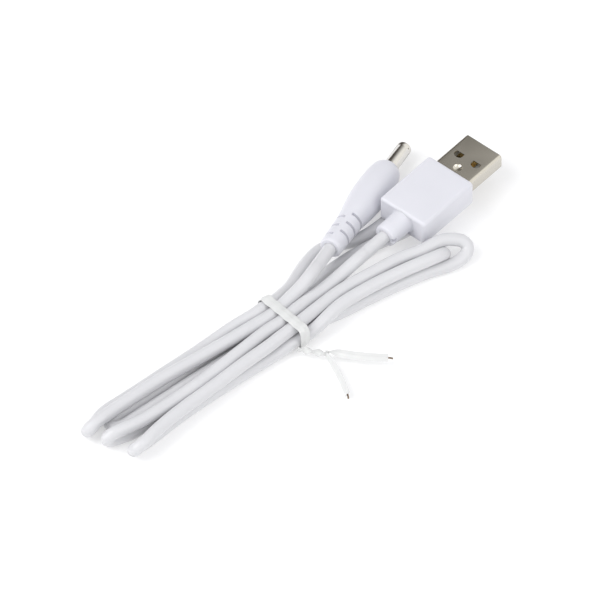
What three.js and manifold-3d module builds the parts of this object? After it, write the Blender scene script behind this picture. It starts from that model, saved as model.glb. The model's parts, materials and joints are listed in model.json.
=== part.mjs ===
// A charging cable with a USB-A plug and a DC barrel plug, folded into a hank and held by a twist tie.
// Millimetres, +Z up. The hank runs along X, the tie is near X = 0 and the cable lies on Z = 0 until the
// last lines, which centre the whole model over the origin.
import * as THREE from 'three';
import Module from 'manifold-3d';
import * as BufferGeometryUtils from 'three/addons/utils/BufferGeometryUtils.js';

const wasm = await Module();
wasm.setup();

// ---------------------------------------------------------------- clearances
const gap = 0.3;            // between neighbours that meet face to face
const slip = 0.2;           // round a piece that sits inside another

// ---------------------------------------------------------------- cable
const cableDiameter = 3.5;
const cableRadius = cableDiameter / 2;
const coreDiameter = 1.2;   // insulated core
const strandDiameter = 0.6; // bare copper end of a core

// ---------------------------------------------------------------- USB-A plug, along its own X
const shellWidth = 12.0;
const shellHeight = 4.5;
const shellWall = 0.3;
const shellCorner = 0.6;
const shellVisible = 13.0;  // ahead of the overmould
const shellBuried = 6.5;    // inside the overmould
const windowWidth = 2.6;
const windowLength = 1.9;
const windowOffset = 2.85;  // from the centreline to a window's centre
const windowFromGrip = 6.1; // from the overmould's front to the windows' centre
const dimpleDiameter = 2.1; // round dimple behind the windows
const dimpleDepth = 0.5;
const dimpleFromGrip = 2.4;
const gripWidth = 15.4;
const gripHeight = 7.8;
const gripLength = 19.9;
const gripCorner = 1.5;
const collarDiameter = 6.3;
const collarLength = 7.0;
const tongueThickness = 1.8;
const tongueSetback = 1.4;  // from the shell's mouth
const contactWidth = 1.4;
const contactThickness = 0.3;
const contactPitches = [3.5, 1.0, -1.0, -3.5];
const contactTail = 3.5;    // behind the tongue
const innerMouldWall = 0.6;
const innerMouldLength = 10.0;

// ---------------------------------------------------------------- DC plug, along its own X
const reliefLength = 12.0;
const reliefRearDiameter = 6.0;
const reliefFrontDiameter = 6.8;
const slotCount = 3;        // slots on each side of the relief
const slotWidth = 0.8;
const slotDepth = 0.9;
const slotEnd = 0.9;        // from the middle plane to a slot's two ends
const bulbLength = 23.0;
const bulbDiameter = 9.3;
const bulbFrontDiameter = 5.4;
const barrelDiameter = 4.0;
const barrelWall = 0.35;
const barrelVisible = 9.5;
const barrelBuried = 4.5;
const flangeDiameter = 6.0; // shoulder of the sleeve, inside the bulb
const flangeLength = 1.4;
const centreBore = 1.7;
const centreWall = 0.25;
const centreTail = 2.7;     // of the centre contact, behind the sleeve
const dcMouldDiameter = 5.6;
const dcMouldLength = 8.0;
const dcMouldWall = 0.5;

// ---------------------------------------------------------------- where the two plugs lie
const hankHeight = 7.0;     // two layers
const layerHeight = hankHeight / 2; // under the USB plug
const neckLength = 3.2;     // cable between a plug's tail and the point where it bends
const usbTail = { x: 37.44, y: -0.87, z: layerHeight + gripHeight / 2 };
const usbTurn = THREE.MathUtils.degToRad(7.5);
const dcTail = { x: 24.0, y: 5.3, z: layerHeight + 4.1 };
const dcTurn = THREE.MathUtils.degToRad(22);
const dcPitch = THREE.MathUtils.degToRad(-5.6);

// ---------------------------------------------------------------- hank and twist tie
const waistWidth = 15.6;    // across the hank at the tie
const waistCentre = -3.4;   // Y of the hank's middle at the tie
const tieX = -1.9;          // X of the tie's middle
const tieWidth = 3.0;
const tieThickness = 0.6;
const tieCorner = 1.6;
const twistLength = 6.6;
const twistPitch = 5.0;
const twistWidth = 2.0;
const twistTurn = THREE.MathUtils.degToRad(40);
const ribbonWidth = 2.4;
const ribbonThickness = 0.6;
const tieWireDiameter = 0.5;
const tieWireBare = 1.4;
const tieLift = 0.1;        // of the tie's underside above the surface

// ---------------------------------------------------------------- materials
const standard = (color, roughness, metalness = 0) =>
  new THREE.MeshStandardMaterial({ color, roughness, metalness });
const whiteVinyl = () => standard(0xeceef2, 0.42);
const whiteTie = () => standard(0xf1f1f0, 0.38);
const nickel = () => standard(0xb4ada2, 0.28, 1);
const goldPlate = () => standard(0xc9a65a, 0.3, 1);
const copper = () => standard(0xb87346, 0.35, 1);
const whiteNylon = () => standard(0xe6e5df, 0.5);
const blackNylon = () => standard(0x1c1c1e, 0.5);
const natural = () => standard(0xd9d8d2, 0.55);
const redVinyl = () => standard(0xb02a25, 0.45);
const blackVinyl = () => standard(0x222224, 0.45);
const steelWire = () => standard(0x8c7a66, 0.45, 1);

// ---------------------------------------------------------------- solids
function toManifold(geometry) {
  const bare = geometry.index ? geometry.toNonIndexed() : geometry.clone();
  bare.deleteAttribute('normal');
  bare.deleteAttribute('uv');
  const merged = BufferGeometryUtils.mergeVertices(bare, 1e-5);
  return new wasm.Manifold(new wasm.Mesh({
    numProp: 3,
    vertProperties: new Float32Array(merged.attributes.position.array),
    triVerts: new Uint32Array(merged.index.array),
  }));
}

function fromManifold(solid) {
  const mesh = solid.getMesh();
  const geometry = new THREE.BufferGeometry();
  geometry.setAttribute('position', new THREE.BufferAttribute(mesh.vertProperties, 3));
  geometry.setIndex(new THREE.BufferAttribute(mesh.triVerts, 1));
  geometry.computeVertexNormals();
  return geometry;
}

function cut(body, ...tools) {
  return fromManifold(tools.reduce((left, tool) => left.subtract(toManifold(tool)), toManifold(body)));
}

function joined(first, ...others) {
  return fromManifold(others.reduce((left, other) => left.add(toManifold(other)), toManifold(first)));
}

// Turns a solid of revolution about X: profile points are [x, radius].
function turned(points, segments = 32) {
  const profile = points.map(([x, radius]) => new THREE.Vector2(radius, x));
  return new THREE.LatheGeometry(profile, segments).rotateZ(-Math.PI / 2);
}

function rod(x0, x1, diameter, segments = 24) {
  return turned([[x0, 0], [x0, diameter / 2], [x1, diameter / 2], [x1, 0]], segments);
}

function tubeSleeve(x0, x1, outer, inner, segments = 32) {
  return turned([[x0, inner / 2], [x0, outer / 2], [x1, outer / 2], [x1, inner / 2], [x0, inner / 2]], segments);
}

function block(x0, x1, width, height, y = 0, z = 0) {
  return new THREE.BoxGeometry(x1 - x0, width, height).translate((x0 + x1) / 2, y, z);
}

// A rounded rectangle in the plane across X: its own x is Y and its own y is Z.
function roundedRectangle(width, height, radius) {
  const shape = new THREE.Shape();
  const a = width / 2 - radius;
  const b = height / 2 - radius;
  shape.absarc(a, b, radius, 0, Math.PI / 2);
  shape.absarc(-a, b, radius, Math.PI / 2, Math.PI);
  shape.absarc(-a, -b, radius, Math.PI, 1.5 * Math.PI);
  shape.absarc(a, -b, radius, 1.5 * Math.PI, 2 * Math.PI);
  return shape;
}

// Extrudes a shape drawn in Y and Z from x0 to x1.
function alongX(shape, x0, x1, bevel = 0) {
  const geometry = new THREE.ExtrudeGeometry(shape, {
    depth: x1 - x0 - 2 * bevel,
    curveSegments: 5,
    bevelEnabled: bevel > 0,
    bevelThickness: bevel,
    bevelSize: bevel,
    bevelOffset: -bevel,
    bevelSegments: 3,
  });
  geometry.applyMatrix4(new THREE.Matrix4().makeBasis(
    new THREE.Vector3(0, 1, 0),
    new THREE.Vector3(0, 0, 1),
    new THREE.Vector3(1, 0, 0),
  ));
  return geometry.translate(x0 + bevel, 0, 0);
}

// Extrudes an outline drawn in X and Y upwards from z0 to z1.
function upwards(shape, z0, z1, curveSegments = 10) {
  return new THREE.ExtrudeGeometry(shape, { depth: z1 - z0, bevelEnabled: false, curveSegments })
    .translate(0, 0, z0);
}

function sweep(points, radius, sides, steps) {
  const section = new THREE.Shape();
  for (let i = 0; i < sides; i += 1) {
    const angle = (2 * Math.PI * i) / sides;
    const method = i === 0 ? 'moveTo' : 'lineTo';
    section[method](radius * Math.cos(angle), radius * Math.sin(angle));
  }
  section.closePath();
  const path = new THREE.CatmullRomCurve3(points.map((p) => new THREE.Vector3(...p)), false, 'centripetal');
  return new THREE.ExtrudeGeometry(section, { steps, extrudePath: path, bevelEnabled: false });
}

function named(name, geometry, material) {
  const mesh = new THREE.Mesh(geometry, material);
  mesh.name = name;
  return mesh;
}

// ---------------------------------------------------------------- USB-A plug
const gripStart = collarLength;
const gripEnd = gripStart + gripLength;
const shellStart = gripEnd - shellBuried;
const shellEnd = gripEnd + shellVisible;
const innerHeight = shellHeight - 2 * shellWall;
const tongueStart = shellStart + 0.5;
const tongueEnd = shellEnd - tongueSetback;
const tongueBottom = -innerHeight / 2 + slip / 2;
const tongueTop = tongueBottom + tongueThickness;
const innerMouldEnd = shellStart - slip;
const innerMouldStart = innerMouldEnd - innerMouldLength;
const jacketEnd = innerMouldStart - slip;

// A round cone that narrows downwards: the cup of the shell's dimple, or the boss round it.
function dimpleCone(diameter, bottom, top) {
  return new THREE.CylinderGeometry(diameter / 2, diameter / 2 - 0.35, top - bottom, 20)
    .rotateX(Math.PI / 2)
    .translate(gripEnd + dimpleFromGrip, 0, (bottom + top) / 2);
}

function usbShell() {
  const outline = roundedRectangle(shellWidth, shellHeight, shellCorner);
  const hollow = roundedRectangle(shellWidth - 2 * shellWall, innerHeight, shellCorner - shellWall / 2);
  outline.holes.push(hollow);
  const tube = alongX(outline, shellStart, shellEnd);
  const windows = [1, -1].map((side) => latchWindow(side * windowOffset));
  const top = shellHeight / 2;
  const boss = dimpleCone(dimpleDiameter + 2 * shellWall, top - dimpleDepth - shellWall, top - shellWall / 2);
  const cup = dimpleCone(dimpleDiameter, top - dimpleDepth, top + 0.05);
  return cut(joined(tube, boss), ...windows, cup);
}

// A window that goes through the top and bottom walls, square in front and round behind.
function latchWindow(y) {
  const x = gripEnd + windowFromGrip;
  const shape = new THREE.Shape();
  shape.moveTo(x + windowLength / 2, y - windowWidth / 2);
  shape.lineTo(x + windowLength / 2, y + windowWidth / 2);
  shape.absellipse(x, y, windowLength / 2, windowWidth / 2, Math.PI / 2, 1.5 * Math.PI, false);
  shape.closePath();
  return upwards(shape, -shellHeight, shellHeight, 8);
}

function usbTongue() {
  const width = shellWidth - 2 * shellWall - slip;
  const middle = (tongueBottom + tongueTop) / 2;
  const outline = roundedRectangle(width, tongueThickness, shellCorner - shellWall / 2);
  const plate = alongX(outline, tongueStart, tongueEnd).translate(0, 0, middle);
  const grooves = contactPitches.map((y) => block(
    tongueStart - 1,
    tongueEnd - 0.8,
    contactWidth + slip,
    2 * (contactThickness + slip / 2),
    y,
    tongueTop,
  ));
  return cut(plate, ...grooves);
}

function usbContact(y) {
  return block(tongueStart - contactTail, tongueEnd - 1.1, contactWidth, contactThickness, y, tongueTop);
}

function usbInnerMould() {
  const width = shellWidth;
  const body = block(innerMouldStart, innerMouldEnd, width, shellHeight);
  const pocketStart = innerMouldStart + 2 * innerMouldWall;
  const pocket = block(
    pocketStart,
    innerMouldEnd + 1,
    width - 2 * innerMouldWall,
    shellHeight - 2 * innerMouldWall,
  );
  return cut(body, pocket, rod(innerMouldStart - 1, pocketStart + 1, 2 * coreDiameter + 3 * slip));
}

function usbOvermould() {
  const grip = alongX(roundedRectangle(gripWidth, gripHeight, gripCorner), gripStart, gripEnd, 0.7);
  const collar = turned([
    [0, 0],
    [0, collarDiameter / 2 - 0.5],
    [0.5, collarDiameter / 2],
    [collarLength + 2, collarDiameter / 2 + 0.3],
    [collarLength + 2, 0],
  ]);
  const cableBore = rod(-1, innerMouldStart, cableDiameter + 2 * slip);
  const room = block(innerMouldStart - slip, gripEnd + 1, shellWidth + 2 * slip, shellHeight + 2 * slip);
  const notch = block(-1, 1.2, 1.6, collarDiameter, -collarDiameter / 2, 0);
  return cut(joined(grip, collar), cableBore, room, notch);
}

// An insulated core and its bare end, from the jacket's end to a contact's tail.
function corePair(prefix, points, bare, colour) {
  const insulation = sweep(points, coreDiameter / 2, 8, 10);
  const strands = rod(bare.x0, bare.x1, strandDiameter, 12).translate(0, bare.y, bare.z);
  return [
    named(`${prefix}_insulation`, insulation, colour),
    named(`${prefix}_conductor`, strands, copper()),
  ];
}

function cableEnd(x1) {
  const dome = [];
  const quarter = 5;
  for (let i = 0; i <= quarter; i += 1) {
    const angle = (Math.PI / 2) * (i / quarter);
    dome.push([-neckLength - cableRadius * Math.cos(angle), cableRadius * Math.sin(angle)]);
  }
  return turned([...dome, [x1, cableRadius], [x1, 0]], 20);
}

function usbPlug() {
  const plug = new THREE.Group();
  const coreLift = tongueTop + contactThickness / 2 + strandDiameter / 2 + slip / 2;
  const bareStart = tongueStart - contactTail;
  const cores = [['usb_red_core', 1, redVinyl()], ['usb_black_core', -1, blackVinyl()]];
  const wires = cores.flatMap(([prefix, side, colour]) => {
    const outer = side * contactPitches[0];
    const inner = side * (coreDiameter / 2 + slip / 2);
    const route = [
      [jacketEnd + slip, inner, 0],
      [innerMouldStart + 1.5, inner, 0],
      [innerMouldStart + 4, (inner + outer) / 2, coreLift / 2],
      [bareStart - 1.5, outer, coreLift],
      [bareStart - 0.2, outer, coreLift],
    ];
    const bare = { x0: bareStart, x1: tongueStart - 0.4, y: outer, z: coreLift };
    return corePair(prefix, route, bare, colour);
  });
  plug.add(
    named('usb_shell', usbShell(), nickel()),
    named('usb_tongue', usbTongue(), whiteNylon()),
    ...contactPitches.map((y, i) => named(`usb_contact_${i + 1}`, usbContact(y), goldPlate())),
    named('usb_inner_mould', usbInnerMould(), natural()),
    named('usb_overmould', usbOvermould(), whiteVinyl()),
    named('usb_cable_end', cableEnd(jacketEnd), whiteVinyl()),
    ...wires,
  );
  plug.position.set(usbTail.x, usbTail.y, usbTail.z);
  plug.rotation.z = usbTurn;
  return plug;
}

// ---------------------------------------------------------------- DC barrel plug
const bulbStart = reliefLength;
const bulbEnd = bulbStart + bulbLength;
const barrelEnd = bulbEnd + barrelVisible;
const barrelStart = bulbEnd - barrelBuried;
const barrelBore = barrelDiameter - 2 * barrelWall;
const centreDiameter = centreBore + 2 * centreWall;
const dcMouldEnd = barrelStart - slip;
const dcMouldStart = dcMouldEnd - dcMouldLength;
const dcJacketEnd = dcMouldStart - slip;

function dcOvermould() {
  const middle = bulbDiameter / 2;
  const front = bulbFrontDiameter / 2;
  const nose = bulbEnd - 3.6;
  const noseArc = [0.25, 0.5, 0.75].map((t) => [
    nose + 3.4 * Math.sin(t * Math.PI / 2),
    front + (middle - 0.3 - front) * Math.cos(t * Math.PI / 2),
  ]);
  const body = turned([
    [0, 0],
    [0, reliefRearDiameter / 2 - 0.4],
    [0.4, reliefRearDiameter / 2],
    [reliefLength, reliefFrontDiameter / 2],
    [bulbStart + 3.5, middle - 0.72],
    [bulbStart + 8, middle - 0.14],
    [bulbStart + 11.5, middle],
    [bulbStart + 15, middle - 0.06],
    [nose, middle - 0.3],
    ...noseArc,
    [bulbEnd, front],
    [bulbEnd, 0],
  ], 40);
  const slots = [];
  const pitch = (reliefLength - 1.5) / slotCount;
  for (let i = 0; i < 2 * slotCount; i += 1) {
    const side = i % 2 === 0 ? -1 : 1;
    const x = reliefLength - (pitch / 2) * i;
    const floor = reliefFrontDiameter - 2 * slotDepth;
    const ring = tubeSleeve(x - slotWidth / 2, x + slotWidth / 2, bulbDiameter, floor);
    const away = side * (slotEnd - bulbDiameter / 2);
    const otherSide = block(x - slotWidth, x + slotWidth, bulbDiameter, 2 * bulbDiameter, away);
    slots.push(cut(ring, otherSide));
  }
  const cableBore = rod(-1, dcMouldStart, cableDiameter + 2 * slip);
  const mouldRoom = rod(dcMouldStart - slip, barrelStart - slip / 2, dcMouldDiameter + 2 * slip);
  const flangeRoom = rod(barrelStart - slip, barrelStart + flangeLength + slip, flangeDiameter + 2 * slip);
  const barrelRoom = rod(barrelStart, bulbEnd + 1, barrelDiameter + slip);
  return cut(body, ...slots, cableBore, mouldRoom, flangeRoom, barrelRoom);
}

function dcBarrel() {
  const outer = barrelDiameter / 2;
  const inner = barrelBore / 2;
  return turned([
    [barrelStart, inner],
    [barrelStart, flangeDiameter / 2],
    [barrelStart + flangeLength, flangeDiameter / 2],
    [barrelStart + flangeLength, outer],
    [barrelEnd - 0.5, outer],
    [barrelEnd - 0.15, outer - 0.1],
    [barrelEnd, outer - 0.3],
    [barrelEnd, inner],
    [barrelStart, inner],
  ], 36);
}

function dcPlug() {
  const plug = new THREE.Group();
  const insulatorOuter = barrelBore - slip;
  const insulatorInner = centreDiameter + slip / 2;
  const bareEnd = barrelStart - 0.6;
  const bareStart = bareEnd - 2.2;
  const lugLift = centreDiameter / 2 - 0.15;
  const redLift = lugLift + 0.15 + strandDiameter / 2 + slip / 2;
  const cores = [['dc_red_core', redLift, redVinyl()], ['dc_black_core', -redLift, blackVinyl()]];
  const wires = cores.flatMap(([prefix, lift, colour]) => {
    const inner = Math.sign(lift) * (coreDiameter / 2 + slip / 2);
    const route = [
      [dcJacketEnd + slip, 0, inner],
      [dcMouldStart + 1.2, 0, inner],
      [bareStart - 1.2, 0, lift * 0.9],
      [bareStart - 0.2, 0, lift],
    ];
    return corePair(prefix, route, { x0: bareStart, x1: bareEnd, y: 0, z: lift }, colour);
  });
  const tail = tubeSleeve(barrelStart - 0.3, barrelEnd - 1.0, centreDiameter, centreBore, 24);
  const lug = block(barrelStart - centreTail, barrelStart - 0.3 + slip / 2, 0.9, 0.3, 0, lugLift);
  plug.add(
    named('dc_barrel', dcBarrel(), nickel()),
    named('dc_insulator', tubeSleeve(barrelStart, barrelEnd - 0.6, insulatorOuter, insulatorInner), blackNylon()),
    named('dc_centre_contact', joined(tail, lug), goldPlate()),
    named('dc_inner_mould', cut(
      rod(dcMouldStart, dcMouldEnd, dcMouldDiameter),
      rod(dcMouldStart + 2 * dcMouldWall, dcMouldEnd + 1, dcMouldDiameter - 2 * dcMouldWall),
      rod(dcMouldStart - 1, dcMouldStart + 2, 2 * coreDiameter + 3 * slip),
    ), natural()),
    named('dc_overmould', dcOvermould(), whiteVinyl()),
    named('dc_cable_end', cableEnd(dcJacketEnd), whiteVinyl()),
    ...wires,
  );
  plug.position.set(dcTail.x, dcTail.y, dcTail.z);
  plug.rotation.order = 'ZYX';
  plug.rotation.z = dcTurn;
  plug.rotation.y = -dcPitch;
  return plug;
}

// ---------------------------------------------------------------- cable outside the plugs
// The point where a plug's lead ends, short of the domed end of the cable in the plug.
function leadEnd(tail, turn, pitch) {
  const back = neckLength + cableRadius + gap;
  return [
    tail.x - back * Math.cos(turn) * Math.cos(pitch),
    tail.y - back * Math.sin(turn) * Math.cos(pitch),
    tail.z - back * Math.sin(pitch),
  ];
}

const hankTop = hankHeight + 0.2;
const leadStart = tieWidth / 2 + 2.5;
const leadRest = hankTop + cableRadius + gap;
const usbLeadSide = -3.0;    // Y of the two leads where they start
const dcLeadSide = usbLeadSide + cableDiameter + 0.5;

function usbLead() {
  return sweep([
    [leadStart + 2.0, usbLeadSide, leadRest],
    [12, -3.3, leadRest - 0.45],
    [18, -3.2, leadRest - 0.95],
    [25, -2.7, usbTail.z + 0.3],
    leadEnd(usbTail, usbTurn, 0),
  ], cableRadius, 8, 10);
}

function dcLead() {
  return sweep([
    [leadStart + 1.0, dcLeadSide, leadRest],
    [12, 1.7, leadRest - 0.35],
    leadEnd(dcTail, dcTurn, dcPitch),
  ], cableRadius, 8, 8);
}

// The outer shape of the folded cable, two layers high: a bundle that widens from the tie to its
// left folds, and on the right the lobe of the outer folds.
function hank() {
  const top = waistCentre + waistWidth / 2;
  const bottom = waistCentre - waistWidth / 2;
  const shape = new THREE.Shape();
  shape.moveTo(2, top);
  shape.lineTo(-8, top);
  shape.bezierCurveTo(-26, 5.6, -45, 6.6, -62, 6.6);
  shape.absarc(-62, 1.6, 5.0, Math.PI / 2, Math.PI, false);
  shape.lineTo(-64.5, -5.5);
  shape.absarc(-57.5, -8.4, 5.6, Math.PI * 0.86, 1.5 * Math.PI, false);
  shape.bezierCurveTo(-40, -11.5, -20, bottom - 0.4, -8, bottom);
  shape.lineTo(2, bottom);
  shape.bezierCurveTo(14, bottom, 32, -13.2, 46, -16.4);
  shape.absarc(50.0, -12.9, 5.2, 1.3 * Math.PI, 2.42 * Math.PI, false);
  shape.bezierCurveTo(42, -8.9, 32, -6.2, 20, -4.6);
  shape.lineTo(6, -4.6);
  shape.lineTo(4, top - 4);
  shape.closePath();
  const seat = tieThickness + 2 * gap;
  const reach = tieWidth / 2 + gap;
  return cut(upwards(shape, 0, hankHeight, 6), block(tieX - reach, tieX + reach, 2 * waistWidth, 2 * seat));
}

// The fold that lies flat on the surface, under the DC plug's tail.
function sideLoop() {
  const shape = new THREE.Shape();
  shape.moveTo(6.5, -0.4);
  shape.bezierCurveTo(18, 1.2, 34, 0.8, 49.0, -1.0);
  shape.absarc(49.5, 3.6, 4.6, 1.5 * Math.PI, 2.5 * Math.PI, false);
  shape.bezierCurveTo(42, 8.3, 37, 6.6, 33.0, 8.2);
  shape.bezierCurveTo(30, 9.8, 30, 12.2, 25, 12.2);
  shape.bezierCurveTo(18, 11.8, 12, 9.5, 6.5, 7.2);
  shape.closePath();
  return upwards(shape, 0, layerHeight - gap, 8);
}

// ---------------------------------------------------------------- twist tie
function tieBand() {
  const width = waistWidth + 2 * gap + 2 * tieThickness;
  const height = hankHeight + gap + tieThickness - tieLift;
  const outer = roundedRectangle(width, height, tieCorner);
  outer.holes.push(roundedRectangle(
    width - 2 * tieThickness,
    height - 2 * tieThickness,
    tieCorner - tieThickness,
  ));
  return alongX(outer, -tieWidth / 2, tieWidth / 2).translate(0, waistCentre, tieLift + height / 2);
}

// A flat ribbon with a raised bead over its wire, drawn across its own length.
function ribbonSection() {
  return roundedRectangle(ribbonWidth, ribbonThickness, ribbonThickness * 0.45);
}

function ribbonAlongY(length, twist, width = ribbonWidth) {
  const steps = Math.max(1, Math.round(Math.abs(twist) / 0.35));
  const geometry = new THREE.ExtrudeGeometry(ribbonSection(), {
    depth: length,
    steps,
    bevelEnabled: false,
    curveSegments: 3,
  });
  geometry.rotateX(Math.PI / 2);
  geometry.scale(width / ribbonWidth, 1, 1);
  const position = geometry.attributes.position;
  const point = new THREE.Vector3();
  const axis = new THREE.Vector3(0, 1, 0);
  for (let i = 0; i < position.count; i += 1) {
    point.fromBufferAttribute(position, i);
    point.applyAxisAngle(axis, (twist * point.y) / length);
    position.setXYZ(i, point.x, point.y, point.z);
  }
  return geometry;
}

const tieSide = waistCentre - waistWidth / 2 - gap - tieThickness;
const twistHeight = 2.4;
const twistStart = tieSide - gap - (twistWidth / 2) * Math.sin(twistTurn);

function tiePieces() {
  const tie = new THREE.Group();
  tie.position.x = tieX;
  const twist = new THREE.Group();
  twist.position.set(-1, twistStart, twistHeight);
  twist.rotation.z = twistTurn;
  const turns = (2 * Math.PI * twistLength) / twistPitch;
  twist.add(named('tie_twist', ribbonAlongY(twistLength, turns, twistWidth), whiteTie()));
  tie.add(named('tie_band', tieBand(), whiteTie()), twist);
  const tails = [
    { name: '1', side: 1, length: 15.5, turn: -4, tilt: -2, width: 2.2, roll: 20 },
    { name: '2', side: -1, length: 13.0, turn: -60, tilt: 4, width: 2.4, roll: 62 },
  ];
  for (const { name, side, length, turn, tilt, width, roll } of tails) {
    const tail = new THREE.Group();
    tail.position.set(side * 1.6, -twistLength - 1.1, 0);
    tail.rotation.set(THREE.MathUtils.degToRad(tilt), 0, THREE.MathUtils.degToRad(turn));
    const ribbon = ribbonAlongY(length, 0, width);
    ribbon.rotateY(THREE.MathUtils.degToRad(roll));
    const wire = rod(length + 0.2, length + 0.2 + tieWireBare, tieWireDiameter, 10).rotateZ(-Math.PI / 2);
    tail.add(named(`tie_tail_${name}`, ribbon, whiteTie()), named(`tie_wire_end_${name}`, wire, steelWire()));
    twist.add(tail);
  }
  return tie;
}

// ---------------------------------------------------------------- assembly
const cable = new THREE.Group();
cable.add(
  usbPlug(),
  dcPlug(),
  named('usb_lead', usbLead(), whiteVinyl()),
  named('dc_lead', dcLead(), whiteVinyl()),
  named('cable_hank', hank(), whiteVinyl()),
  named('cable_side_loop', sideLoop(), whiteVinyl()),
  tiePieces(),
);

// The origin is under the middle of the model, on the surface that it lies on.
const middle = new THREE.Box3().setFromObject(cable, true).getCenter(new THREE.Vector3());
const model = new THREE.Group();
model.add(cable);
cable.position.set(-middle.x, -middle.y, 0);

export default model;
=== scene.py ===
"""The looks of a white charging cable with a USB-A plug and a DC barrel plug, folded into a hank and
held by a twist tie. Sizes in the plugs, the tie and the cable's route are in millimetres, in the
hank's own frame: X runs along the hank, the tie is near X = 0 and the cable lies on Z = 0."""

import json
import math

import bmesh
import bpy
import numpy as np
from mathutils import Matrix, Vector


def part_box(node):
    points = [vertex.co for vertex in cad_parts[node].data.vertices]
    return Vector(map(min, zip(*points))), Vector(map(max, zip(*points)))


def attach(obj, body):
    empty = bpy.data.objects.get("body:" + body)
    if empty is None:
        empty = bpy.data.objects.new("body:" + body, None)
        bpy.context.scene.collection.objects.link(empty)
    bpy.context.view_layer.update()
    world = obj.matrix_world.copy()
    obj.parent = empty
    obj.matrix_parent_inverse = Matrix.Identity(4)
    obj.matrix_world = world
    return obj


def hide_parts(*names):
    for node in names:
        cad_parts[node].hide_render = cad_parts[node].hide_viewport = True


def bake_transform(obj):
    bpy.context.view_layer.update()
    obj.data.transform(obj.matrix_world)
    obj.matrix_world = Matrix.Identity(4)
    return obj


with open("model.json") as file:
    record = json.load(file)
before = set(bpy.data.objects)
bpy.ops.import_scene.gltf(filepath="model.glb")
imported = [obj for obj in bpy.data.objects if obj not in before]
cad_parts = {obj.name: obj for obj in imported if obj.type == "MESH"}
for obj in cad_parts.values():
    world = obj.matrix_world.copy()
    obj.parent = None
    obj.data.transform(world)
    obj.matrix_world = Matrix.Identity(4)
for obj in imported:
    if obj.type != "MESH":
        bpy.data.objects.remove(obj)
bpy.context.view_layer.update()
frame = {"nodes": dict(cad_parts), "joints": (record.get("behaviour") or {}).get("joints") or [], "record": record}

MM = 0.001
CABLE_DIAMETER = 3.5
CABLE_RADIUS = CABLE_DIAMETER / 2
WAIST_CENTRE = -3.4       # Y of the hank's middle at the tie
TIE_X = -1.9              # X of the tie's middle
NECK_REACH = 3.2          # from a plug's tail back to the point where it bends
NECK_START = 8.0          # behind a plug's tail
NECK_END = 4.0            # inside the plug

joints = {joint["name"]: joint for joint in frame["joints"]}
mounts = {mount["name"]: mount for mount in frame["record"]["mounts"]}
nodes = frame["nodes"]

band_low, band_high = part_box("tie_band")
hank_origin = (band_low + band_high) / 2
hank_origin.x -= TIE_X * MM
hank_origin.y -= WAIST_CENTRE * MM
hank_origin.z = 0


# ------------------------------------------------------------------ places
def at(x, y, z):
    """A point of the hank's frame, in the row frame."""
    return hank_origin + Vector((x, y, z)) * MM


def plug_place(joint_name, mount_name):
    """The matrix of a plug's own frame: X ahead, origin on its tail's rear face, in millimetres."""
    ahead = Vector(mounts[mount_name]["axis"]).normalized()
    across = -Vector(joints[joint_name]["axis"]).normalized()
    up = ahead.cross(across)
    place = Matrix((ahead, across, up)).transposed().to_4x4()
    place.translation = Vector(joints[joint_name]["pos_m"]) + ahead * NECK_REACH * MM
    return place @ Matrix.Scale(MM, 4)


usb_place = plug_place("usb_plug_bend", "usb_front_face")
dc_place = plug_place("dc_plug_bend", "dc_front_face")


# ------------------------------------------------------------------ camera
CAMERA_AZIMUTH = math.radians(-42)
CAMERA_ELEVATION = math.radians(47.3)
CAMERA_DISTANCE = 0.7
VIEW_WIDTH = 0.15584
VIEW_CENTRE = (6.49, 6.49)   # right of and above the tie's foot, across the view


def make_camera():
    sine, cosine = math.sin(CAMERA_AZIMUTH), math.cos(CAMERA_AZIMUTH)
    lean = math.cos(CAMERA_ELEVATION)
    back = Vector((sine * lean, -cosine * lean, math.sin(CAMERA_ELEVATION)))
    right = Vector((cosine, sine, 0))
    up = back.cross(right)
    target = at(0, 0, 0) + (right * VIEW_CENTRE[0] + up * VIEW_CENTRE[1]) * MM
    camera = bpy.data.objects.new("camera", bpy.data.cameras.new("camera"))
    camera.data.type = "ORTHO"
    camera.data.ortho_scale = VIEW_WIDTH
    camera.data.clip_start = 0.01
    camera.data.clip_end = 20
    camera.location = target + back * CAMERA_DISTANCE
    camera.rotation_mode = "QUATERNION"
    camera.rotation_quaternion = back.to_track_quat("Z", "Y")
    bpy.context.scene.collection.objects.link(camera)
    bpy.context.scene.camera = camera


make_camera()


# ------------------------------------------------------------------ meshes
def new_mesh(name, vertices, faces, smooth=True, sharp_angle=40):
    mesh = bpy.data.meshes.new(name)
    mesh.from_pydata([tuple(v) for v in vertices], [], faces)
    mesh.validate()
    piece = bpy.data.objects.new(name, mesh)
    bpy.context.scene.collection.objects.link(piece)
    finish_mesh(piece, smooth, sharp_angle)
    return piece


def finish_mesh(piece, smooth=True, sharp_angle=40):
    """Faces out, smooth shading, and sharp edges where the surface turns by more than an angle."""
    shape = bmesh.new()
    shape.from_mesh(piece.data)
    bmesh.ops.recalc_face_normals(shape, faces=shape.faces)
    limit = math.radians(sharp_angle)
    for face in shape.faces:
        face.smooth = smooth
    for edge in shape.edges:
        edge.smooth = len(edge.link_faces) < 2 or edge.calc_face_angle(0) < limit
    shape.to_mesh(piece.data)
    shape.free()


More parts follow.
